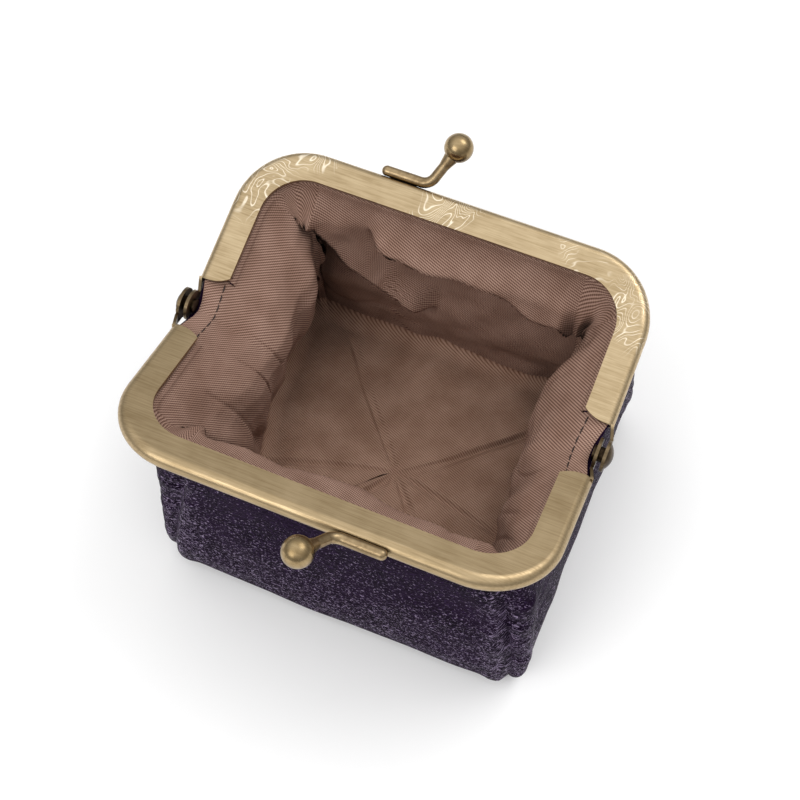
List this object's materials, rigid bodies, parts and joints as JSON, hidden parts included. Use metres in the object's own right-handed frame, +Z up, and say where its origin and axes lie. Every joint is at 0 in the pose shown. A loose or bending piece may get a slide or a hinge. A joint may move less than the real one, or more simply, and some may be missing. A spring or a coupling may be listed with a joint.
{
  "type": "kiss-lock coin purse",
  "caption": "Square-based leather coin purse standing open, with a hinged brass kiss-lock frame and a twill lining.",
  "frame": {"origin": "centre of the base, on the surface that the purse stands on, below the hinge axis", "axes": "+X along the hinge axis to the right, +Y to the rear, +Z up; the front faces -Y"},
  "size_m": [0.1018, 0.1074, 0.0708],
  "materials": {
    "leather": "crackled metallic aubergine",
    "lining_twill": "mauve-brown twill",
    "thread": "dark sewing thread",
    "frame_brass": "brushed antique brass",
    "clasp_brass": "polished antique brass",
    "ball_brass": "mottled antique brass",
    "dark_brass": "blackened brass",
    "solder": "rough solder",
    "paper_cord": "twisted kraft paper"
  },
  "bodies": {
    "bag": {"leather_body": "leather", "left_gusset": "leather", "right_gusset": "leather", "lining_body": "lining_twill", "left_lining": "lining_twill", "right_lining": "lining_twill", "left_topstitch": "thread", "right_topstitch": "thread", "left_rivet": "dark_brass", "right_rivet": "dark_brass"},
    "front_frame": {"front_channel": "frame_brass", "front_clasp_rod": "clasp_brass", "front_clasp_ball": "ball_brass", "front_clasp_solder": "solder", "front_leather_edge": "leather", "front_lining_edge": "lining_twill", "front_packing_cord": "paper_cord"},
    "rear_frame": {"rear_channel": "frame_brass", "rear_clasp_rod": "clasp_brass", "rear_clasp_ball": "ball_brass", "rear_clasp_solder": "solder", "rear_leather_edge": "leather", "rear_lining_edge": "lining_twill", "rear_packing_cord": "paper_cord"}
  },
  "joints": [
    {"name": "front_hinge", "type": "hinge", "parent": "bag", "child": "front_frame", "pos_m": [0, 0, 0.05], "axis": [-1, 0, 0], "range_deg": [0, 73]},
    {"name": "rear_hinge", "type": "hinge", "parent": "bag", "child": "rear_frame", "pos_m": [0, 0, 0.05], "axis": [1, 0, 0], "range_deg": [0, 73]}
  ],
  "couplings": [
    {"joint": "rear_hinge", "follows": "front_hinge", "ratio": 1}
  ]
}
